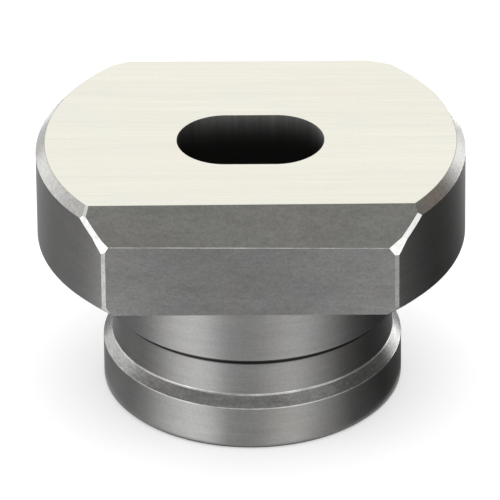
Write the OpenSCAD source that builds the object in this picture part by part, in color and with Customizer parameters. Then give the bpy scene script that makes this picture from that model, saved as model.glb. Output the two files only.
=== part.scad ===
// Slotted punching die of a portable hydraulic punch, turned and milled from one bar of tool steel.
// The die stands on its foot at z = 0, with its axis on Z. The bevelled flat faces -Y.

/* [Slotted hole] */
// Length of the hole that the matching punch makes
punch_l = 13; // [11:0.5:15]
// Width of the hole that the matching punch makes
punch_w = 8.5; // [6:0.5:10]
// Clearance between the punch and the die hole, both sides together
punch_gap = 0.2; // [0.1:0.05:0.6]
// Height of the straight cutting wall along the long sides of the hole
cutting_h = 6; // [4.5:0.25:7]
// Room that the slug gets past each end of the hole in the round relief
slug_room = 1.2; // [0.6:0.1:1.8]
// Included angle of the drill point that the relief ends in
drill_angle = 118; // [110:1:140]
// Chamfer at the mouth of the relief, under the foot
mouth_chamfer = 0.5; // [0.2:0.1:0.9]

/* [Flange] */
// Diameter of the flange
flange_d = 38.4; // [36:0.2:44]
// Thickness of the flange, from its seat to the ground top face
flange_t = 9.7; // [8:0.1:13]
// Distance across the two milled flats
across_flats = 28.3; // [27.6:0.1:32]
// Bevel along the top of the front flat
front_bevel = 2.8; // [1.6:0.1:3.6]
// Angle by which the hand-milled bevel is out of parallel with the flat, wider on the right
bevel_skew = 0.45; // [0:0.05:0.9]
// Width of the turned chamfer round the top, measured inwards
rim_chamfer_w = 0.8; // [0.4:0.05:1.2]
// Height of the turned chamfer round the top
rim_chamfer_h = 0.9; // [0.4:0.05:1.3]
// Turned chamfer round the underside
seat_chamfer = 0.6; // [0.2:0.1:1.2]

/* [Filed corners] */
// Width of the upright facet on each corner between a flat and the round
corner_facet = 0.5; // [0.3:0.05:0.8]
// How far the right-hand facet on the bevel's side reaches in along the bevel's lower edge
right_in = 0.7; // [0.4:0.05:1]
// How far the right-hand facet reaches down the front flat
right_down = 0.7; // [0.3:0.05:1]
// Width that the right-hand facet takes off the bevel at its upper end
right_top = 0.35; // [0.1:0.05:0.5]
// How far the left-hand facet reaches in along the bevel's lower edge
left_in = 0.55; // [0.4:0.05:1]
// How far the left-hand facet reaches down the front flat
left_down = 0.45; // [0.3:0.05:1]
// Width that the left-hand facet takes off the bevel at its upper end
left_top = 0.3; // [0.1:0.05:0.5]
// How far the facet under each upright one reaches in along the seat
lower_in = 0.7; // [0.4:0.05:1]
// How far the facet under each upright one reaches up
lower_up = 0.85; // [0.4:0.05:1.2]
// How far the facet on the right-hand rear corner reaches in along the top of the rear flat
rear_right_in = 1.2; // [0.4:0.05:1.6]
// How far the facet on the left-hand rear corner reaches in along the top of the rear flat
rear_left_in = 0.6; // [0.4:0.05:1.6]
// How far both rear facets reach out along the rim of the top face
rear_out = 0.75; // [0.4:0.05:1]
// How far both rear facets run down the rear corners below the rim chamfer
rear_down = 0.6; // [0.3:0.05:1.2]

/* [Shank] */
// Diameter of the shank that fits the bore of the holder
shank_d = 26.9; // [25:0.1:27.4]
// Height of the plain shoulder between the seat and the groove
shoulder_h = 5.45; // [4:0.05:7]
// Depth of the groove that the holder's set screw enters
groove_depth = 0.8; // [0.4:0.05:1.4]
// Height of the straight bottom of the groove
groove_w = 3.8; // [3:0.1:5]
// Height of the ramp at the lower side of the groove
ramp_h = 1; // [0.6:0.1:1.6]
// Height of the collar below the groove
collar_h = 4.2; // [3:0.1:6]
// Chamfer round the foot of the collar
foot_chamfer = 0.25; // [0.1:0.05:0.8]
// Chamfer where the shoulder ends at the groove
shoulder_chamfer = 0.25; // [0.1:0.05:0.3]
// Radius that the turning tool leaves in each inner corner
tool_r = 0.3; // [0.1:0.05:0.35]

/* [Hidden] */
$fn = 96;

flange_r = flange_d / 2;
shank_r = shank_d / 2;
groove_r = shank_r - groove_depth;
flat_y = across_flats / 2;

// Heights from the foot upwards
ramp_z = collar_h;
groove_z = ramp_z + ramp_h;
shoulder_z = groove_z + groove_w;
seat_z = shoulder_z + shoulder_h;
top_z = seat_z + flange_t;

// Die hole and the relief below it
hole_l = punch_l + punch_gap;
hole_w = punch_w + punch_gap;
relief_r = hole_l / 2 + slug_room;
point_h = relief_r / tan(drill_angle / 2);
point_z = top_z - cutting_h + hole_w / 2 / tan(drill_angle / 2);
relief_z = point_z - point_h;

// Overlap that keeps a cut clear of the surface it starts from, and the reach of a cut that ends outside
over = 1;
reach = 2 * flange_d;

// Half the length of a line across a circle of radius r, at distance y from its centre
function half_chord(r, y) = sqrt(pow(r, 2) - pow(y, 2));
function unit(v) = v / norm(v);

// Where a flat meets the round, and where the rear flat meets the rim of the top face
corner_x = half_chord(flange_r, flat_y);
rim_r = flange_r - rim_chamfer_w;
rim_x = half_chord(rim_r, flat_y);

// Middle of the bevel's lower edge, and the height of the mill's tilt there
bevel_z = top_z - front_bevel;
bevel_normal = [tan(bevel_skew), -1, 1];

// Removes what lies beyond a plane that faces along normal, at depth below point p
module shave(normal, p, depth) {
    n = unit(normal);
    rotate([0, acos(n[2]), atan2(n[1], n[0])])
        translate([-reach / 2, -reach / 2, p * n - depth])
            cube(reach);
}

// Ring that fills the inner corner at p, between the directions u and v, with the tool radius
module inner_radius(p, u, v) {
    half = acos(unit(u) * unit(v)) / 2;
    run = tool_r / tan(half);
    outwards = unit(unit(u) + unit(v));
    centre = p + outwards * tool_r / sin(half);
    rotate_extrude()
        difference() {
            polygon([p - outwards * tool_r, p + unit(u) * run, centre, p + unit(v) * run]);
            translate(centre) circle(tool_r);
        }
}

// Half section of the turned blank, with the axis at x = 0
module blank_section() {
    polygon([
        [0, 0],
        [shank_r - foot_chamfer, 0],
        [shank_r, foot_chamfer],
        [shank_r, ramp_z],
        [groove_r, groove_z],
        [groove_r, shoulder_z],
        [shank_r - shoulder_chamfer, shoulder_z],
        [shank_r, shoulder_z + shoulder_chamfer],
        [shank_r, seat_z],
        [flange_r - seat_chamfer, seat_z],
        [flange_r, seat_z + seat_chamfer],
        [flange_r, top_z - rim_chamfer_h],
        [flange_r - rim_chamfer_w, top_z],
        [0, top_z]
    ]);
}

module turned_blank() {
    rotate_extrude() blank_section();
    inner_radius([groove_r, groove_z], [0, 1], [groove_depth, -ramp_h]);
    inner_radius([groove_r, shoulder_z], [0, -1], [1, 0]);
    inner_radius([shank_r, seat_z], [0, -1], [1, 0]);
}

// Both flats, cut only as deep as the seat of the flange
module milled_flats() {
    for (side = [-1, 1])
        translate([-reach / 2, side * (flat_y + reach / 2) - reach / 2, seat_z - over / 2])
            cube([reach, reach, flange_t + over]);
}

module front_bevel_cut() {
    shave(bevel_normal, [0, -flat_y, bevel_z], 0);
}

// Upright facets on the four corners between the flats and the round
module upright_facets() {
    flat_normal = [0, -1, 0];
    round_normal = [corner_x, -flat_y, 0] / flange_r;
    depth = corner_facet / 2 * tan(acos(flat_normal * round_normal) / 2);
    for (mx = [0, 1], my = [0, 1])
        mirror([mx, 0, 0]) mirror([0, my, 0])
            shave(flat_normal + round_normal, [corner_x, -flat_y, 0], depth);
}

// Facet through three points, named anticlockwise as seen from outside
module facet(p, q, r) {
    shave(cross(q - p, r - p), p, 0);
}

// Facet on one side of the bevel, from the corner below it up to where bevel, rim chamfer and round meet
module bevel_side_facet(in, down, top, skew) {
    low = [corner_x, -flat_y, bevel_z - tan(skew) * corner_x];
    high_y = flat_y - front_bevel + rim_chamfer_h - tan(skew) * corner_x;
    high = [half_chord(flange_r, high_y), -high_y, top_z - rim_chamfer_h];
    facet(low - [in, 0, 0], low - [corner_facet / 2, 0, down], high - [top, 0, 0]);
}

// Facet that runs level across the foot of an upright one, down to the seat
module lower_facet() {
    up = [corner_x - corner_facet / 2, -flat_y, seat_z + lower_up];
    along = [flange_r + flat_y, corner_x, 0];
    facet(up, [corner_x - lower_in, -flat_y, seat_z], up + along);
}

// Facet over the upper end of a rear corner
module rear_facet(in) {
    out_x = rim_x + rear_out;
    facet([rim_x - in, flat_y, top_z],
        [out_x, half_chord(rim_r, out_x), top_z],
        [corner_x - corner_facet / 2, flat_y, top_z - rim_chamfer_h - rear_down]);
}

module slot_section(length, width) {
    straight = length - width;
    square([straight, width], center = true);
    for (side = [-1, 1])
        translate([side * straight / 2, 0]) circle(width / 2);
}

module die_hole() {
    translate([0, 0, relief_z])
        linear_extrude(top_z - relief_z + over) slot_section(hole_l, hole_w);
}

// Round relief drilled from below, with its drill point and the chamfer at its mouth
module slug_relief() {
    rotate_extrude()
        polygon([
            [0, -over],
            [relief_r + mouth_chamfer + over, -over],
            [relief_r, mouth_chamfer],
            [relief_r, relief_z],
            [0, point_z]
        ]);
}

module die_body() {
    color([0.47, 0.46, 0.44])
        difference() {
            turned_blank();
            milled_flats();
            front_bevel_cut();
            upright_facets();
            bevel_side_facet(right_in, right_down, right_top, bevel_skew);
            mirror([1, 0, 0]) bevel_side_facet(left_in, left_down, left_top, -bevel_skew);
            for (mx = [0, 1], my = [0, 1])
                mirror([mx, 0, 0]) mirror([0, my, 0]) lower_facet();
            rear_facet(rear_right_in);
            mirror([1, 0, 0]) rear_facet(rear_left_in);
            die_hole();
            slug_relief();
        }
}

die_body();
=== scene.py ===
"""Slotted punching die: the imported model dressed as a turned, milled and ground piece of tool steel."""

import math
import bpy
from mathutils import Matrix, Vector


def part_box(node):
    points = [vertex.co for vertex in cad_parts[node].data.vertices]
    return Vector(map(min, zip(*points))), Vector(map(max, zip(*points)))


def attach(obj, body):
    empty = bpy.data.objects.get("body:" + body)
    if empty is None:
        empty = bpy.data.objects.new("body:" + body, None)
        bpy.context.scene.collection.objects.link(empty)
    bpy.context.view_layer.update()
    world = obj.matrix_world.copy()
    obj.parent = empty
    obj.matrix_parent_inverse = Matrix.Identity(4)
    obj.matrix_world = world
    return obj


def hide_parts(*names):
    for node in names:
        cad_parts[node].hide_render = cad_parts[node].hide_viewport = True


bl_info = {
    "name": "Slotted punching die",
    "version": (1, 0, 0),
    "blender": (4, 5, 0),
    "location": "View3D > Sidebar > Punching die",
    "description": "Models the die body with its worked steel surfaces, and sets up a plain studio around it",
    "category": "Object",
}

import bmesh
import bpy
from bpy.props import FloatProperty, FloatVectorProperty, IntProperty, PointerProperty
from mathutils import Matrix, Vector

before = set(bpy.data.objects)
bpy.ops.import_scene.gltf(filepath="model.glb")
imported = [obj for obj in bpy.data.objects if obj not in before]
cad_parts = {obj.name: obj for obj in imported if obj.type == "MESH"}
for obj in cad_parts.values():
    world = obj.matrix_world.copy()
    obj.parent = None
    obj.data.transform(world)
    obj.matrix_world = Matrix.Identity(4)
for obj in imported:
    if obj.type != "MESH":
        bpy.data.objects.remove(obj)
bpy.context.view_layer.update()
BODY_HIGH = Vector(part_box("die_body")[1])

MM = 0.001
RIGHT, LEFT = 1, -1
FRONT, BACK = -1, 1


def from_frame(name, default, description):
    """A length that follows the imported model, in metres."""
    return FloatProperty(
        name=name, description=description, default=default, min=0.0, precision=5, unit="LENGTH")


def length(name, default, description):
    """A length of this die, given in millimetres and kept in metres."""
    return from_frame(name, default * MM, description)


def angle(name, default, description):
    """An angle, given in degrees and kept in radians."""
    return FloatProperty(name=name, description=description, default=math.radians(default), unit="ROTATION")


def shade(name, default, description):
    """A colour, which may be brighter than white on the cards of the studio."""
    return FloatVectorProperty(
        name=name, description=description, default=default, size=3, min=0.0, max=8.0, subtype="COLOR")


class DieSizes(bpy.types.PropertyGroup):
    """Sizes of the die body, with its foot at z = 0 and its axis on Z"""

    flange_r: from_frame("Flange radius", BODY_HIGH.x, "Radius of the turned flange")
    top_z: from_frame("Height", BODY_HIGH.z, "Height of the ground top face over the foot")
    flat_y: from_frame("Flat distance", BODY_HIGH.y, "Distance of each milled flat from the axis")
    seat_z: length("Seat height", 14.45, "Height of the flange's underside")
    shank_r: length("Shank radius", 13.45, "Radius of the shoulder and the collar")
    groove_depth: length("Groove depth", 0.8, "Depth of the set-screw groove")
    shoulder_z: length("Shoulder height", 9.0, "Height of the lower end of the plain shoulder")
    groove_z: length("Groove floor height", 5.2, "Height of the lower end of the groove's straight bottom")
    ramp_z: length("Collar height", 4.2, "Height of the collar under the ramp")
    bevel: length("Front bevel", 2.8, "Bevel along the top of the front flat")
    bevel_skew: angle("Bevel skew", 0.45, "Angle of the bevel to the flat")
    rim_w: length("Rim chamfer width", 0.8, "Width of the turned chamfer round the top")
    rim_h: length("Rim chamfer height", 0.9, "Height of the turned chamfer round the top")
    seat_chamfer: length("Seat chamfer", 0.6, "Turned chamfer round the flange's underside")
    foot_chamfer: length("Foot chamfer", 0.25, "Chamfer round the foot")
    shoulder_chamfer: length("Shoulder chamfer", 0.25, "Chamfer where the shoulder ends at the groove")
    tool_r: length("Tool radius", 0.3, "Radius that the tool leaves in inner corners")
    edge_r: length("Edge break", 0.06, "Radius on the turned edges")
    collar_edge_r: length("Collar edge", 0.144, "Radius that wear leaves on the collar's upper edge")
    facet_w: length("Upright facet", 0.40, "Width of the facets on the upright corners")
    strip_w: length("Filed strip", 0.56, "Width of the strip filed along the left side of the bevel")
    burr_w: length("Burr strip", 0.07, "Width of the strip where the bevel's lower burr is filed off")
    hole_l: length("Hole length", 13.2, "Length of the obround hole")
    hole_w: length("Hole width", 8.7, "Width of the obround hole")
    relief_r: length("Relief radius", 7.8, "Radius of the slug relief")
    point_z: length("Drill point height", 20.764, "Height of the tip of the relief's drill point")
    drill_angle: angle("Drill angle", 118, "Angle of the relief's drill point")
    mouth: length("Mouth chamfer", 0.5, "Chamfer at the mouth of the relief")
    steps: IntProperty(
        name="Turning steps", description="Straight pieces that each turned circle is made of",
        default=320, min=64, max=720)


class DieColours(bpy.types.PropertyGroup):
    """Colours of the worked steel and of the studio"""

    # These steel colours are partly the finish and partly painted light: each face's colour is set to how
    # bright it looks, so the ground top holds a painted reflection and the milled and turned faces painted
    # shade.
    ground: shade("Ground face", (0.845, 0.828, 0.732), "Steel of the ground top face")
    bevel: shade("Milled bevel", (0.19, 0.188, 0.175), "Steel of the bevel")
    flat: shade("Milled flats", (0.171, 0.171, 0.168), "Steel of the flats")
    flange: shade("Turned flange", (0.214, 0.213, 0.208), "Steel of the flange's round side")
    shank: shade("Turned shank", (0.204, 0.203, 0.199), "Steel of the shoulder, the groove and the collar")
    ramp: shade("Turned ramp", (0.180, 0.179, 0.175), "Steel of the groove's sloping side")
    chamfer: shade("Rim chamfer", (0.30, 0.297, 0.287), "Steel of the turned chamfer round the top")
    # Worn edges: partly wear, partly a painted highlight on the edge rounds and fillets.
    edge: shade("Worn edges", (0.44, 0.435, 0.422), "Bright steel where an edge is worn or broken")
    # Filed strips: filed steel made brighter than steel can be, a painted highlight.
    strip: shade("Filed strips", (0.96, 0.96, 0.94), "Bright steel of the strips filed along the bevel")
    # Filed rim end: filed steel with a painted highlight.
    rim_end: shade("Filed rim end", (0.62, 0.62, 0.60), "Steel of the stroke filed at the end of the rim")
    corner: shade("Filed corners", (0.28, 0.28, 0.273), "Steel of the filed corners")
    hole: shade("Hole wall", (0.32, 0.32, 0.314), "Steel of the cutting wall under the edge")
    # Painted shade: this dark colour darkens the hole's wall further down and at its left end, and the faces
    # that look down.
    dark_shade: shade("Oil", (0.022, 0.021, 0.02), "Steel under old oil in the hole and the corners")
    # Painted shade: the dark line in the top of the groove, under the shoulder's edge.
    shade_colour: shade("Dirt", (0.010, 0.0097, 0.0095), "Dirt in the groove under the shoulder's edge")
    paper: shade("Floor paper", (0.76, 0.76, 0.76), "Paper under the die")
    left_card: shade("Left card", (1.75, 1.75, 1.75), "Bright card high on the left")
    left_side_card: shade("Left side card", (2.6, 2.6, 2.6), "Brighter card under the left one")
    right_card: shade("Right card", (0.43, 0.43, 0.43), "Dark card high on the right")
    right_side_card: shade("Right side card", (0.27, 0.27, 0.27), "Darker card under the right one")
    brown_card: shade("Brown card", (0.52, 0.425, 0.345), "Warm card that the rim mirrors on the right")
    left_low_card: shade("Left low card", (3.2, 3.2, 3.2), "Bright card low behind the die on the left")
    right_low_card: shade("Right low card", (7.5, 7.5, 7.5), "Bright card low behind the die on the right")


class Socket:
    """A node's output, on which sums are written as on a number."""

    def __init__(self, kit, link):
        self.kit = kit
        self.link = link

    def _math(self, operation, *values):
        return self.kit.node("ShaderNodeMath", {"operation": operation}, list(values))

    def __add__(self, other):
        return self._math("ADD", self, other)

    def __rsub__(self, other):
        return self._math("SUBTRACT", other, self)

    def __mul__(self, other):
        return self._math("MULTIPLY", self, other)

    def __truediv__(self, other):
        return self._math("DIVIDE", self, other)

    def __pow__(self, other):
        return self._math("POWER", self, other)

    def over(self, low, high):
        """0 below low, 1 above high, and a ramp between."""
        inputs = {"Value": self, "From Min": low, "From Max": high}
        return self.kit.node("ShaderNodeMapRange", {"clamp": True}, inputs)


class Kit:
    """Adds nodes to the tree of one material or of the world."""

    NODES_IN_ROW = 8
    NODE_ACROSS = 180
    NODE_DOWN = 220

    def __init__(self, owner):
        owner.use_nodes = True
        self.tree = owner.node_tree
        self.tree.nodes.clear()

    def node(self, kind, settings=None, inputs=None, output=0):
        """Adds a node, with its settings first and then the values or links of its sockets."""
        made = self.tree.nodes.new(kind)
        row, column = divmod(len(self.tree.nodes), self.NODES_IN_ROW)
        made.location = (self.NODE_ACROSS * column, -self.NODE_DOWN * row)
        for key, value in (settings or {}).items():
            if key == "stops":
                self.set_stops(made.color_ramp.elements, value)
            else:
                setattr(made, key, value)
        pairs = enumerate(inputs) if isinstance(inputs, list) else (inputs or {}).items()
        for key, value in pairs:
            if isinstance(value, Socket):
                self.tree.links.new(value.link, made.inputs[key])
            else:
                made.inputs[key].default_value = value
        return Socket(self, made.outputs[output]) if made.outputs else None

    def set_stops(self, elements, stops):
        while len(elements) < len(stops):
            elements.new(0.5)
        for element, (position, colour) in zip(elements, stops):
            element.position = position
            element.color = colour

    def here(self):
        return self.node("ShaderNodeTexCoord", output="Object")

    def along(self, axis):
        """The X, Y or Z of the place, in metres."""
        return self.node("ShaderNodeSeparateXYZ", None, [self.here()], output=axis)

    def noise(self, grain, detail=2.0, roughness=0.5):
        """Noise with its grain in lines per metre along X, Y and Z."""
        place = self.node("ShaderNodeMapping", None, {"Vector": self.here(), "Scale": grain})
        inputs = {"Vector": place, "Scale": 1.0, "Detail": detail, "Roughness": roughness}
        return self.node("ShaderNodeTexNoise", None, inputs)

    def rings(self, grain):
        """Noise in rings about the axis, with its grain in rings per metre."""
        flat = self.node("ShaderNodeVectorMath", {"operation": "MULTIPLY"}, [self.here(), (1, 1, 0)])
        out = self.node("ShaderNodeVectorMath", {"operation": "LENGTH"}, [flat], output="Value")
        inputs = {"W": out * grain, "Scale": 1.0, "Detail": 3.0}
        return self.node("ShaderNodeTexNoise", {"noise_dimensions": "1D"}, inputs)

    def mix(self, share, first, second, blend="MIX"):
        """Mixes or blends two colours."""
        settings = {"data_type": "RGBA", "blend_type": blend}
        return self.node("ShaderNodeMix", settings, {0: share, 6: first, 7: second}, output=2)

    def surface(self, inputs):
        """Ends the tree with a Principled shader that has these inputs."""
        shader = self.node("ShaderNodeBsdfPrincipled", None, inputs)
        self.node("ShaderNodeOutputMaterial", None, {"Surface": shader})


def tint(colour, factor=1.0):
    """A colour made lighter or darker, with its alpha."""
    return tuple(part * factor for part in colour) + (1.0,)


WHITE = (1.0, 1.0, 1.0)
WARM = (1.0, 0.80, 0.62, 1.0)
COOL = (0.80, 0.90, 1.0, 1.0)

# Share of the stronger and of the weaker noise where two are added.
STRONG = 0.6
WEAK = 0.4

# Grain of the noises that the finishes share, in lines per metre.
SPECK_GRAIN = (4300.0, 4300.0, 4300.0)
FILM_GRAIN = (210.0, 210.0, 260.0)
NICK_GRAIN = (900.0, 900.0, 900.0)

# Levels of a noise between which what it paints goes from none to full.
MARKS_SHOW = (0.32, 0.68)
SPECK_SHOWS = (0.30, 0.70)
NICKS_SHOW = (0.72, 0.78)
WARM_SHOWS = (0.52, 0.75)
COOL_SHOWS = (0.48, 0.28)


def steel(name, colour, roughness, grain, spread=0.08, grit=0.05, vary=0.04, depth=0.0, lay=0.0, film=0.0,
          rings=0.0, nicks=0.0, unshaded=None, shade_colour=None):
    """A worked steel surface.

    Its marks are noise with a grain in lines per metre along X, Y and Z, or in rings per metre about the
    axis. spread is how much they lighten and darken it, vary how much they change its roughness, depth how
    deep they are, and lay how strongly they stretch its highlights. grit is its fine speckle, film its warm
    and cool patches, and nicks how bright its few small nicks are. The last two give painted shade: a mask
    of how free of it each place is, from 0 to 1, and its dark colour.
    """
    band_scale = 0.21
    nick_gain = 1.9
    brushed_turn = 0.25
    made = bpy.data.materials.new(name)
    kit = Kit(made)
    lines = kit.rings(rings) if rings else kit.noise(grain, detail=3.0, roughness=0.6)
    bands = kit.noise([part * band_scale for part in grain])
    marks = lines * STRONG + bands * WEAK
    speck = kit.noise(SPECK_GRAIN, roughness=0.6)
    shown = kit.mix(marks.over(*MARKS_SHOW), tint(colour, 1.0 - spread), tint(colour, 1.0 + spread))
    dust = kit.mix(speck.over(*SPECK_SHOWS), tint(WHITE, 1.0 - 2 * grit), tint(WHITE))
    shown = kit.mix(1.0, shown, dust, "MULTIPLY")
    if nicks:
        places = kit.noise(NICK_GRAIN, detail=1.0).over(*NICKS_SHOW)
        shown = kit.mix(places * nicks, shown, tint(colour, nick_gain))
    if film:
        patches = kit.noise(FILM_GRAIN)
        for levels, film_colour in ((WARM_SHOWS, WARM), (COOL_SHOWS, COOL)):
            filmed = kit.mix(1.0, shown, film_colour, "MULTIPLY")
            shown = kit.mix(patches.over(*levels) * film, shown, filmed)
    # Painted shade: the colour darkens to the given shade colour where the mask falls toward 0.
    if unshaded:
        shown = kit.mix(unshaded(kit), tint(shade_colour), shown)
    inputs = {"Base Color": shown, "Metallic": 1.0, "Roughness": marks * (2 * vary) + (roughness - vary)}
    if lay:
        inputs["Anisotropic"] = lay
        inputs["Anisotropic Rotation"] = brushed_turn
    if depth:
        bump = {"Strength": 1.0, "Distance": depth, "Height": marks * STRONG + speck * WEAK}
        inputs["Normal"] = kit.node("ShaderNodeBump", None, bump)
    kit.surface(inputs)
    return made


def hole_unshaded(s):
    """The hole's wall is bright under its edge, and painted shade darkens it further down and at the left
    end.
    """
    darkest_z = s.top_z - 3.8 * MM
    unshaded_z = s.top_z + 0.1 * MM
    fall = 2.8
    shaded_x = -7.5 * MM
    unshaded_x = -4.0 * MM

    def unshaded(kit):
        return kit.along("Z").over(darkest_z, unshaded_z) ** fall * kit.along("X").over(shaded_x, unshaded_x)

    return unshaded


def groove_unshaded(s):
    """Painted shade darkens a thin band at the top of the groove, under the shoulder's edge."""
    shade_low = s.shoulder_z - 0.69 * MM
    shade_full = s.shoulder_z - 0.54 * MM
    fade = 0.02 * MM

    def unshaded(kit):
        height = kit.along("Z")
        return 1 - height.over(shade_low, shade_full) * height.over(s.shoulder_z, s.shoulder_z - fade)

    return unshaded


def turned_finishes(c, s):
    """The finishes that the lathe left, with painted shade in the top of the groove."""
    around = (420.0, 420.0, 6500.0)
    coarse = (900.0, 900.0, 5200.0)
    even = (2600.0, 2600.0, 2600.0)
    faced = 5200.0
    return (
        steel("turned_rim", c.flange, 0.32, around, spread=0.07, grit=0.07, depth=1.2e-6, film=0.12,
              nicks=0.3),
        # The shank carries painted shade: a dark line in the top of the groove, under the shoulder's edge.
        steel("turned_shank", c.shank, 0.34, around, spread=0.09, grit=0.06, depth=1.5e-6, lay=0.3, film=0.15,
              unshaded=groove_unshaded(s), shade_colour=c.shade_colour),
        steel("turned_ramp", c.ramp, 0.25, coarse, spread=0.24, grit=0.15, depth=1.5e-6, film=0.12),
        steel("turned_chamfer", c.chamfer, 0.28, even, spread=0.10, grit=0.13, depth=1.0e-6, film=0.12),
        steel("faced_foot", c.shank, 0.36, even, spread=0.14, depth=1.5e-6, rings=faced),
        steel("faced_seat", c.flange, 0.36, even, spread=0.12, depth=1.5e-6, rings=faced),
        steel("drilled_relief", c.shank, 0.42, around, spread=0.16, depth=2.5e-6),
    )


def milled_finishes(c, s):
    """The finishes that milling, grinding and piercing left, with painted shade deep in the hole."""
    ground = (90.0, 4200.0, 90.0)
    bevel = (1500.0, 3000.0, 3000.0)
    flat = (1500.0, 4200.0, 4200.0)
    pierced = (2600.0, 2600.0, 60.0)
    return (
        steel("ground_top", c.ground, 0.27, ground, spread=0.036, grit=0.014, vary=0.02, film=0.05),
        steel("milled_bevel", c.bevel, 0.40, bevel, spread=0.13, grit=0.10, depth=3.0e-6, film=0.12),
        steel("milled_flat", c.flat, 0.40, flat, spread=0.13, grit=0.10, depth=3.0e-6, film=0.12),
        # The hole's wall carries painted shade: darker further down and at its left end.
        steel("hole_wall", c.hole, 0.55, pierced, spread=0.25, depth=2.0e-6, lay=0.5,
              unshaded=hole_unshaded(s), shade_colour=c.dark_shade),
    )


def hand_finishes(c):
    """The finishes that the file and wear left, some with painted highlights, and painted shade under things.
    """
    filed = (3200.0, 3200.0, 1500.0)
    patchy = (450.0, 450.0, 450.0)
    return (
        # Painted highlight: the filed strips are brighter than filed steel.
        steel("filed_strip_highlight", c.strip, 0.34, filed, grit=0.08, depth=2.0e-6),
        # Painted highlight on the filed stroke at the rim's end.
        steel("filed_rim_end_highlight", c.rim_end, 0.34, filed, grit=0.08, depth=2.0e-6),
        steel("filed_corner", c.corner, 0.34, filed, spread=0.15, grit=0.14, depth=3.0e-6),
        # Partly wear, partly a painted highlight on edge rounds and fillets.
        steel("worn_edge_and_highlight", c.edge, 0.30, patchy, spread=0.42, grit=0.1),
        # Painted shade on the faces that look down.
        steel("shaded_underside", c.dark_shade, 0.45, patchy, spread=0.3),
    )


def nothing_selected():
    if bpy.context.object and bpy.context.object.mode != "OBJECT":
        bpy.ops.object.mode_set(mode="OBJECT")
    bpy.ops.object.select_all(action="DESELECT")


def edit(piece):
    """Opens a piece for modelling."""
    nothing_selected()
    bpy.context.view_layer.objects.active = piece
    piece.select_set(True)
    bpy.ops.object.mode_set(mode="EDIT")
    bpy.ops.mesh.select_mode(type="VERT")
    bpy.ops.mesh.select_all(action="SELECT")


def pick_verts(test):
    """Selects, in edit mode, the vertices that pass the test."""
    mesh = bpy.context.edit_object.data
    shape = bmesh.from_edit_mesh(mesh)
    bpy.ops.mesh.select_all(action="DESELECT")
    for vert in shape.verts:
        if test(vert.co):
            vert.select_set(True)
    shape.select_flush_mode()
    bmesh.update_edit_mesh(mesh)


def rounded(corners):
    """The points of a section whose corners, given as (r, z, radius), are rounded."""
    most_turn = 15
    points = []
    for i, (x, z, radius) in enumerate(corners):
        here = Vector((x, z))
        if radius == 0:
            points.append(here)
            continue
        back = (Vector(corners[i - 1][:2]) - here).normalized()
        on = (Vector(corners[i + 1][:2]) - here).normalized()
        half = back.angle(on) / 2
        centre = here + (back + on).normalized() * radius / math.sin(half)
        run = radius / math.tan(half)
        start = here + back * run - centre
        end = here + on * run - centre
        sweep = start.angle_signed(end)
        count = max(2, round(abs(math.degrees(sweep)) / most_turn))
        points += [centre + Matrix.Rotation(-sweep * k / count, 2) @ start for k in range(count + 1)]
    return points


def cone_start(s):
    """Height where the relief's drill point begins."""
    return s.point_z - s.relief_r / math.tan(s.drill_angle / 2)


def blank_section(s):
    """Half section of the turned blank, from the top face down the outside and up the relief."""
    e = s.edge_r
    top_r = s.flange_r - s.rim_w - 3 * e
    groove_r = s.shank_r - s.groove_depth
    tip_r = 0.02 * MM
    tip_z = s.point_z - tip_r / math.tan(s.drill_angle / 2)
    return rounded([
        (top_r, s.top_z, 0),
        (s.flange_r - s.rim_w, s.top_z, e),
        (s.flange_r, s.top_z - s.rim_h, e),
        (s.flange_r, s.seat_z + s.seat_chamfer, e),
        (s.flange_r - s.seat_chamfer, s.seat_z, e),
        (s.shank_r, s.seat_z, s.tool_r),
        (s.shank_r, s.shoulder_z + s.shoulder_chamfer, e),
        (s.shank_r - s.shoulder_chamfer, s.shoulder_z, e),
        (groove_r, s.shoulder_z, s.tool_r),
        (groove_r, s.groove_z, s.tool_r),
        (s.shank_r, s.ramp_z, s.collar_edge_r),
        (s.shank_r, s.foot_chamfer, e),
        (s.shank_r - s.foot_chamfer, 0.0, e),
        (s.relief_r + s.mouth, 0.0, e),
        (s.relief_r, s.mouth, e),
        (s.relief_r, cone_start(s), s.tool_r),
        (tip_r, tip_z, 0),
    ])


def turn_blank(s):
    """Turns the blank by extruding one circle along the section, ring by ring, and closes both ends."""
    hair = 0.0001 * MM
    section = blank_section(s)
    top_r, top_z = section[0]
    nothing_selected()
    bpy.ops.mesh.primitive_circle_add(vertices=s.steps, radius=top_r, fill_type="NOTHING", location=(0, 0, 0))
    blank = bpy.context.object
    edit(blank)
    bpy.ops.transform.translate(value=(0, 0, top_z))
    for (r0, z0), (r1, z1) in zip(section, section[1:]):
        bpy.ops.mesh.extrude_region_move(TRANSFORM_OT_translate={"value": (0, 0, z1 - z0)})
        bpy.ops.transform.resize(value=(r1 / r0, r1 / r0, 1), center_override=(0, 0, z1))
    bpy.ops.mesh.merge(type="CENTER")
    pick_verts(lambda place: place.z > top_z - hair and place.xy.length < top_r + hair)
    bpy.ops.mesh.edge_face_add()
    bpy.ops.mesh.select_all(action="SELECT")
    bpy.ops.mesh.normals_make_consistent(inside=False)
    bpy.ops.object.mode_set(mode="OBJECT")
    return blank


def shave(normal, place, depth=0.0):
    """Cuts off what lies beyond a plane, that far under a place, and closes the cut. Runs in edit mode."""
    normal = Vector(normal).normalized()
    under = Vector(place) - normal * depth
    bpy.ops.mesh.select_all(action="SELECT")
    bpy.ops.mesh.bisect(plane_co=under, plane_no=normal, use_fill=True, clear_outer=True, threshold=1e-8)
    return normal, normal.dot(under)


def facet(points, out):
    """Cuts along the plane through three points, on the side where out points."""
    first, second, third = (Vector(point) for point in points)
    normal = (second - first).cross(third - first)
    return shave(normal if normal.dot(Vector(out)) > 0 else -normal, first)


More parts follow.
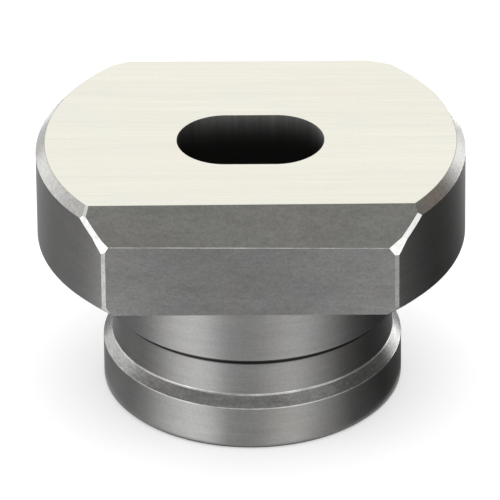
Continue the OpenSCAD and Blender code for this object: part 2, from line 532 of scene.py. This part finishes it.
def strip_depth(width, one, other):
    """How deep a strip of that width is cut into the edge between two faces."""
    return width / 2 * math.tan(one.angle(other) / 2)


def half_chord(r, y):
    return math.sqrt(r * r - y * y)


def bevel_normal(s):
    return Vector((math.tan(s.bevel_skew), -1, 1)).normalized()


def file_upright_corner(s, mx, my):
    """Files the upright corner between a flat and the round side, and the corner's lower end."""
    lower_in = 0.7 * MM
    lower_up = 0.85 * MM
    corner_x = half_chord(s.flange_r, s.flat_y)
    corner = Vector((mx * corner_x, my * s.flat_y, 0))
    flat_n = Vector((0, my, 0))
    round_n = corner.normalized()
    upright = shave(flat_n + round_n, corner, strip_depth(s.facet_w, flat_n, round_n))
    top = Vector((mx * (corner_x - s.facet_w / 2), my * s.flat_y, s.seat_z + lower_up))
    foot = Vector((mx * (corner_x - lower_in), my * s.flat_y, s.seat_z))
    along = Vector((mx * (s.flange_r + s.flat_y), -my * corner_x, 0))
    return [upright, facet((top, foot, top + along), (mx, my, -1))]


def file_bevel_side(s, mx, width, corner_in, corner_down):
    """Files the curved edge between the bevel and the round side in short strokes, then its lower corner."""
    strokes = 6
    middle_in = 0.12 * MM
    middle_down = 0.14 * MM
    skew = math.tan(s.bevel_skew)
    bevel_n = bevel_normal(s)
    first = math.asin(half_chord(s.flange_r, s.flat_y) / s.flange_r)
    last = math.acos((s.flat_y - s.bevel + s.rim_h) / s.flange_r)

    def edge(turn):
        """The place on the edge at a turn about the axis from the front."""
        x = mx * s.flange_r * math.sin(turn)
        y = -s.flange_r * math.cos(turn)
        return Vector((x, y, s.top_z - s.bevel + s.flat_y + y - skew * x))

    cuts = []
    for k in range(strokes):
        turn = first + (last - first) * (k + 0.5) / strokes
        round_n = Vector((mx * math.sin(turn), -math.cos(turn), 0))
        cuts.append(shave(bevel_n + round_n, edge(turn), strip_depth(width, bevel_n, round_n)))
    low = edge(first)
    middle = edge((first + last) / 2)
    points = (
        low - Vector((mx * corner_in, 0, 0)),
        low - Vector((mx * s.facet_w / 2, 0, corner_down)),
        middle - Vector((mx * middle_in, 0, middle_down)),
    )
    return cuts + [facet(points, (mx, -1, 1))]


def file_rim_end(s, mx):
    """Runs the file on along the end of the rim's chamfer, where it meets the bevel."""
    width = 0.06 * MM
    bevel_n = bevel_normal(s)
    radius = s.flange_r - s.rim_w / 2
    y = s.flat_y - s.bevel + s.rim_h / 2
    x = half_chord(radius, y)
    slope = Vector((s.rim_h, s.rim_w)).normalized()
    rim_n = Vector((mx * x / radius * slope.x, -y / radius * slope.x, slope.y))
    place = (mx * x, -y, s.top_z - s.rim_h / 2)
    return shave(bevel_n + rim_n, place, strip_depth(width, bevel_n, rim_n))


def file_rear_corner(s, mx, reach):
    """Files the upper corner at one end of the rear flat."""
    out = 0.75 * MM
    down = 0.6 * MM
    rim_r = s.flange_r - s.rim_w
    rim_x = half_chord(rim_r, s.flat_y)
    points = (
        (mx * (rim_x - reach), s.flat_y, s.top_z),
        (mx * (rim_x + out), half_chord(rim_r, rim_x + out), s.top_z),
        (mx * (half_chord(s.flange_r, s.flat_y) - s.facet_w / 2), s.flat_y, s.top_z - s.rim_h - down),
    )
    return facet(points, (mx, 1, 1))


def mill_and_file(blank, s):
    """Mills the flats and the bevel, then files the corners. Returns the planes of each finish."""
    right_share = 0.9
    bevel_edge = Vector((0, -s.flat_y, s.top_z - s.bevel))
    edit(blank)
    flats = [shave((0, my, 0), (0, my * s.flat_y, 0)) for my in (FRONT, BACK)]
    bevel = [shave(bevel_normal(s), bevel_edge)]
    corners = []
    for mx in (RIGHT, LEFT):
        for my in (FRONT, BACK):
            corners += file_upright_corner(s, mx, my)
    strips = file_bevel_side(s, RIGHT, right_share * s.strip_w, corner_in=0.72 * MM, corner_down=0.72 * MM)
    strips += file_bevel_side(s, LEFT, s.strip_w, corner_in=0.5 * MM, corner_down=0.55 * MM)
    rim_end = [file_rim_end(s, LEFT)]
    corners.append(file_rear_corner(s, RIGHT, reach=1.2 * MM))
    corners.append(file_rear_corner(s, LEFT, reach=0.6 * MM))
    flat_n = Vector((0, -1, 0))
    burr = shave(flat_n + bevel_normal(s), bevel_edge, strip_depth(s.burr_w, flat_n, bevel_normal(s)))
    bpy.ops.object.mode_set(mode="OBJECT")
    return {
        "milled_flat": flats, "milled_bevel": bevel, "filed_strip_highlight": strips, "filed_rim_end_highlight": rim_end,
        "filed_corner": corners, "worn_edge_and_highlight": [burr]}


def cut_hole(blank, s):
    """Cuts the obround hole down into the relief."""
    arc_steps = 128
    spare = 2 * MM
    low = cone_start(s) - spare
    nothing_selected()
    bpy.ops.mesh.primitive_circle_add(
        vertices=arc_steps, radius=s.hole_w / 2, fill_type="NGON", location=(0, 0, 0),
        rotation=(0, 0, math.pi / arc_steps))
    cutter = bpy.context.object
    bpy.ops.object.transform_apply(location=True, rotation=True, scale=True)
    edit(cutter)
    for side in (LEFT, RIGHT):
        pick_verts(lambda place: place.x * side > 0)
        bpy.ops.transform.translate(value=(side * (s.hole_l - s.hole_w) / 2, 0, 0))
    bpy.ops.mesh.select_all(action="SELECT")
    bpy.ops.transform.translate(value=(0, 0, low))
    bpy.ops.mesh.extrude_region_move(TRANSFORM_OT_translate={"value": (0, 0, s.top_z + spare - low)})
    bpy.ops.mesh.select_all(action="SELECT")
    bpy.ops.mesh.normals_make_consistent(inside=False)
    nothing_selected()
    bpy.context.view_layer.objects.active = blank
    blank.select_set(True)
    cut = blank.modifiers.new("die_hole", "BOOLEAN")
    cut.operation = "DIFFERENCE"
    cut.solver = "EXACT"
    cut.object = cutter
    bpy.ops.object.modifier_apply(modifier=cut.name)
    bpy.data.objects.remove(cutter)


def on_plane(face, planes):
    """Whether a face lies on one of the planes."""
    near = 0.004 * MM
    parallel = 0.9998
    for normal, reach in planes:
        if face.normal.dot(normal) > parallel and abs(face.center.dot(normal) - reach) < near:
            return True
    return False


def finish_of(face, s, planes):
    """The finish of a face, told by its place and the way it faces."""
    for name, cuts in planes.items():
        if on_plane(face, cuts):
            return name
    x, y, z = face.center
    out = math.hypot(x, y)
    rise = face.normal.z
    bore_r = s.relief_r + s.mouth
    hair = 0.01 * MM
    rim_z = s.seat_z + 0.1 * MM
    level = 0.9999
    sloping = 0.1
    steep = 0.6
    facing_down = -0.2
    if rise > level and z > s.top_z - hair:
        return "ground_top"
    if face.normal.x * x + face.normal.y * y < 0 and out < bore_r:
        return "hole_wall" if z > cone_start(s) else "drilled_relief"
    if z > rim_z:
        return "turned_chamfer" if rise > sloping else "turned_rim"
    if rise < facing_down and z < hair:
        return "faced_foot"
    if rise < facing_down and z > s.seat_z - s.tool_r:
        return "faced_seat"
    # Faces that look down elsewhere get painted shade.
    if rise < facing_down and out > bore_r + s.mouth and not s.ramp_z < z < s.groove_z:
        return "shaded_underside"
    # Edge rounds and fillets that slope up get the worn edge finish, with its painted highlight.
    if sloping < rise < steep:
        return "worn_edge_and_highlight"
    return "turned_ramp" if rise >= steep else "turned_shank"


def give_finishes(body, s, c, planes):
    """Gives each face the finish of the work that left it, with painted shade or highlight on some."""
    made = turned_finishes(c, s) + milled_finishes(c, s) + hand_finishes(c)
    for finish in made:
        body.data.materials.append(finish)
    slots = {finish.name: number for number, finish in enumerate(made)}
    for face in body.data.polygons:
        face.material_index = slots[finish_of(face, s, planes)]


class DIE_OT_body(bpy.types.Operator):
    """Turns, mills, files and pierces the die body, and gives each surface its finish"""

    bl_idname = "die.body"
    bl_label = "Die body"

    def execute(self, context):
        s = context.scene.die_sizes
        crease = math.radians(6)
        body = turn_blank(s)
        planes = mill_and_file(body, s)
        cut_hole(body, s)
        if len(body.data.polygons) < s.steps:
            raise RuntimeError("The die body came out empty")
        body.name = "die_steel_body"
        body.data.name = body.name
        give_finishes(body, s, context.scene.die_colours, planes)
        nothing_selected()
        context.view_layer.objects.active = body
        body.select_set(True)
        bpy.ops.object.shade_smooth_by_angle(angle=crease)
        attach(body, "root")
        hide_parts("die_body")
        return {"FINISHED"}


def soft_lamp(name, bearing, rise, wide, high, strength, away=0.5):
    """A soft lamp that shines on the die from a bearing, in degrees to the right of the camera, and a rise
    over the floor. wide and high are in degrees as the die sees them, and a strength of 1 is white."""
    middle = Vector((0, 0, 10 * MM))
    bearing = math.radians(bearing)
    rise = math.radians(rise)
    toward = Vector((math.sin(bearing) * math.cos(rise), -math.cos(bearing) * math.cos(rise), math.sin(rise)))
    nothing_selected()
    bpy.ops.object.light_add(
        type="AREA", location=middle + toward * away, rotation=toward.to_track_quat("Z", "Y").to_euler())
    lamp = bpy.context.object
    lamp.name = name
    lamp.visible_camera = False
    lamp.data.shape = "RECTANGLE"
    lamp.data.size = 2 * away * math.tan(math.radians(wide) / 2)
    lamp.data.size_y = 2 * away * math.tan(math.radians(high) / 2)
    lamp.data.energy = strength * math.pi * lamp.data.size * lamp.data.size_y


def floor_paper(colour):
    """Plain paper, with a glow that makes the background white for the camera and for what mirrors it."""
    glow = 0.39
    made = bpy.data.materials.new("floor_paper")
    kit = Kit(made)
    seen = (kit.node("ShaderNodeLightPath", output="Is Camera Ray")
            + kit.node("ShaderNodeLightPath", output="Is Glossy Ray")
            + kit.node("ShaderNodeLightPath", output="Is Transmission Ray"))
    kit.surface({
        "Base Color": tint(colour), "Roughness": 0.9, "Specular IOR Level": 0.1,
        "Emission Color": kit.mix(seen, tint(WHITE, 0.0), tint(WHITE)), "Emission Strength": glow})
    return made


# How bright the sweep of paper round the die is, by the bearing from the camera, where 1 is white.
SWEEP = (
    (-180, 0.30), (-155, 0.50), (-135, 0.40), (-116, 0.34), (-107, 0.47), (-94, 0.48), (-83, 0.80),
    (-63, 2.18), (-50, 2.67), (-38, 2.46), (-22, 1.12), (-8, 0.95), (6, 1.04), (20, 1.52), (33, 1.81),
    (42, 1.74), (58, 1.00), (79, 0.24), (101, 0.06), (120, 0.09), (134, 0.20), (146, 0.50), (160, 0.50),
    (180, 0.40),
)
BRIGHTEST = 2.67


def sweep_level(kit):
    """The sweep's brightness by the bearing from a place in front of the die's axis."""
    forward = 8 * MM
    sides = [kit.along("X"), -forward - kit.along("Y")]
    bearing = kit.node("ShaderNodeMath", {"operation": "ARCTAN2"}, sides)
    stops = [(degrees / 360 + 0.5, tint(WHITE, level / BRIGHTEST)) for degrees, level in SWEEP]
    return kit.node("ShaderNodeValToRGB", {"stops": stops}, {"Fac": bearing / (2 * math.pi) + 0.5})


def bright_paper(name, level):
    """Paper that glows at a level of its own for the steel that mirrors it."""
    made = bpy.data.materials.new(name)
    kit = Kit(made)
    glow = level(kit) if callable(level) else tint(level, 1 / BRIGHTEST)
    kit.surface({
        "Base Color": tint(WHITE, 0.0), "Roughness": 1.0, "Specular IOR Level": 0.0,
        "Emission Color": glow, "Emission Strength": BRIGHTEST})
    return made


def mirrored_only(made):
    """Only the steel sees this one."""
    made.visible_camera = False
    made.visible_diffuse = False
    made.visible_shadow = False


def paper_sweep(s):
    """A ring of paper on the floor, bright on both sides of the camera and dark beside the die."""
    near = s.shank_r + 0.3 * MM
    far = 130 * MM
    lift = 0.2 * MM
    steps = 144
    nothing_selected()
    bpy.ops.mesh.primitive_circle_add(vertices=steps, radius=near, fill_type="NOTHING", location=(0, 0, 0))
    ring = bpy.context.object
    ring.name = "paper_sweep"
    edit(ring)
    bpy.ops.transform.translate(value=(0, 0, lift))
    bpy.ops.mesh.extrude_region_move(TRANSFORM_OT_translate={"value": (0, 0, 0)})
    bpy.ops.transform.resize(value=(far / near, far / near, 1), center_override=(0, 0, lift))
    bpy.ops.object.mode_set(mode="OBJECT")
    ring.data.materials.append(bright_paper("sweep_paper", sweep_level))
    mirrored_only(ring)


def side_card(name, level, bearing, away, wide, low, high):
    """A card that stands beside the die, at a bearing in degrees to the right of the camera.

    How far away, wide, low and high it is are in millimetres.
    """
    away, wide, low, high = (size * MM for size in (away, wide, low, high))
    turn = math.radians(bearing)
    place = (away * math.sin(turn), -away * math.cos(turn), (low + high) / 2)
    nothing_selected()
    bpy.ops.mesh.primitive_plane_add(size=1, location=place, rotation=(math.pi / 2, 0, turn))
    card = bpy.context.object
    card.name = name
    card.dimensions = (wide, high - low, 0)
    card.data.materials.append(bright_paper(name + "_paper", level))
    mirrored_only(card)


def studio_floor(c):
    """A floor of paper that reaches far beyond the picture."""
    side = 4000 * MM
    nothing_selected()
    bpy.ops.mesh.primitive_plane_add(size=side, location=(0, 0, 0))
    floor = bpy.context.object
    floor.name = "floor"
    floor.data.materials.append(floor_paper(c.paper))


def studio_lamps():
    """Low lamps behind the die for the ends of the rim, and weak ones high on the right and overhead."""
    soft_lamp("left_rim_lamp", bearing=-124, rise=3, wide=20, high=14, strength=1.6)
    soft_lamp("right_rim_lamp", bearing=140, rise=3, wide=32, high=14, strength=2.4)
    soft_lamp("right_high_lamp", bearing=43, rise=42, wide=24, high=16, strength=0.5)
    soft_lamp("overhead_lamp", bearing=180, rise=75, wide=60, high=60, strength=0.4, away=0.8)


def studio_camera():
    """The photograph's view: almost square to the flat, and 31 degrees above the floor."""
    rise = math.radians(31.03)
    turn = math.radians(0.594)
    roll = math.radians(-0.580)
    aim_right = -0.142 * MM
    aim_z = 12.654 * MM
    away = 738 * MM
    sensor = 36
    lens = 590.88
    back = Vector((math.sin(turn) * math.cos(rise), -math.cos(turn) * math.cos(rise), math.sin(rise)))
    right = Vector((math.cos(turn), math.sin(turn), 0))
    up = back.cross(right)
    across = right * math.cos(roll) + up * math.sin(roll)
    upright = up * math.cos(roll) - right * math.sin(roll)
    nothing_selected()
    bpy.ops.object.camera_add(location=right * aim_right + Vector((0, 0, aim_z)) + back * away)
    camera = bpy.context.object
    camera.name = "studio_camera"
    camera.rotation_euler = Matrix((across, upright, back)).transposed().to_euler()
    camera.data.sensor_width = sensor
    camera.data.lens = lens
    camera.data.clip_start = 0.01
    camera.data.clip_end = 20
    bpy.context.scene.camera = camera


def studio_air(scene):
    """Plain white light from all round."""
    world = bpy.data.worlds.new("studio_air")
    scene.world = world
    kit = Kit(world)
    air = kit.node("ShaderNodeBackground", None, {"Color": tint(WHITE), "Strength": 1.0})
    kit.node("ShaderNodeOutputWorld", None, {"Surface": air})


class DIE_OT_stage(bpy.types.Operator):
    """Lays the pale floor, and sets the papers and lamps, the air round the die and the camera"""

    bl_idname = "die.stage"
    bl_label = "Studio"

    def execute(self, context):
        s = context.scene.die_sizes
        c = context.scene.die_colours
        studio_floor(c)
        paper_sweep(s)
        side_card("left_card", c.left_card, bearing=-107, away=70, wide=60, low=38, high=85)
        side_card("left_side_card", c.left_side_card, bearing=-112, away=70, wide=48, low=7, high=38)
        side_card("right_card", c.right_card, bearing=90, away=72, wide=66, low=38, high=66)
        side_card("right_side_card", c.right_side_card, bearing=90, away=72, wide=66, low=0, high=38)
        side_card("brown_card", c.brown_card, bearing=104, away=68, wide=28, low=38, high=66)
        side_card("left_low_card", c.left_low_card, bearing=-138, away=70, wide=70, low=0, high=6)
        side_card("right_low_card", c.right_low_card, bearing=140, away=70, wide=66, low=0, high=6)
        studio_lamps()
        studio_air(context.scene)
        studio_camera()
        context.scene.view_settings.view_transform = "Standard"
        return {"FINISHED"}


class DIE_PT_panel(bpy.types.Panel):
    """Lists the pieces of the die and its studio"""

    bl_idname = "DIE_PT_panel"
    bl_label = "Punching die"
    bl_space_type = "VIEW_3D"
    bl_region_type = "UI"
    bl_category = "Punching die"

    def draw(self, context):
        for group in (context.scene.die_sizes, context.scene.die_colours):
            column = self.layout.column(align=True)
            for name in type(group).__annotations__:
                column.prop(group, name)
        self.layout.operator("die.body")
        self.layout.operator("die.stage")


CLASSES = (DieSizes, DieColours, DIE_OT_body, DIE_OT_stage, DIE_PT_panel)


def register():
    for made in CLASSES:
        bpy.utils.register_class(made)
    bpy.types.Scene.die_sizes = PointerProperty(type=DieSizes)
    bpy.types.Scene.die_colours = PointerProperty(type=DieColours)


def unregister():
    del bpy.types.Scene.die_colours
    del bpy.types.Scene.die_sizes
    for made in reversed(CLASSES):
        bpy.utils.unregister_class(made)


def main():
    register()
    bpy.ops.die.body()
    bpy.ops.die.stage()


if __name__ == "__main__":
    main()
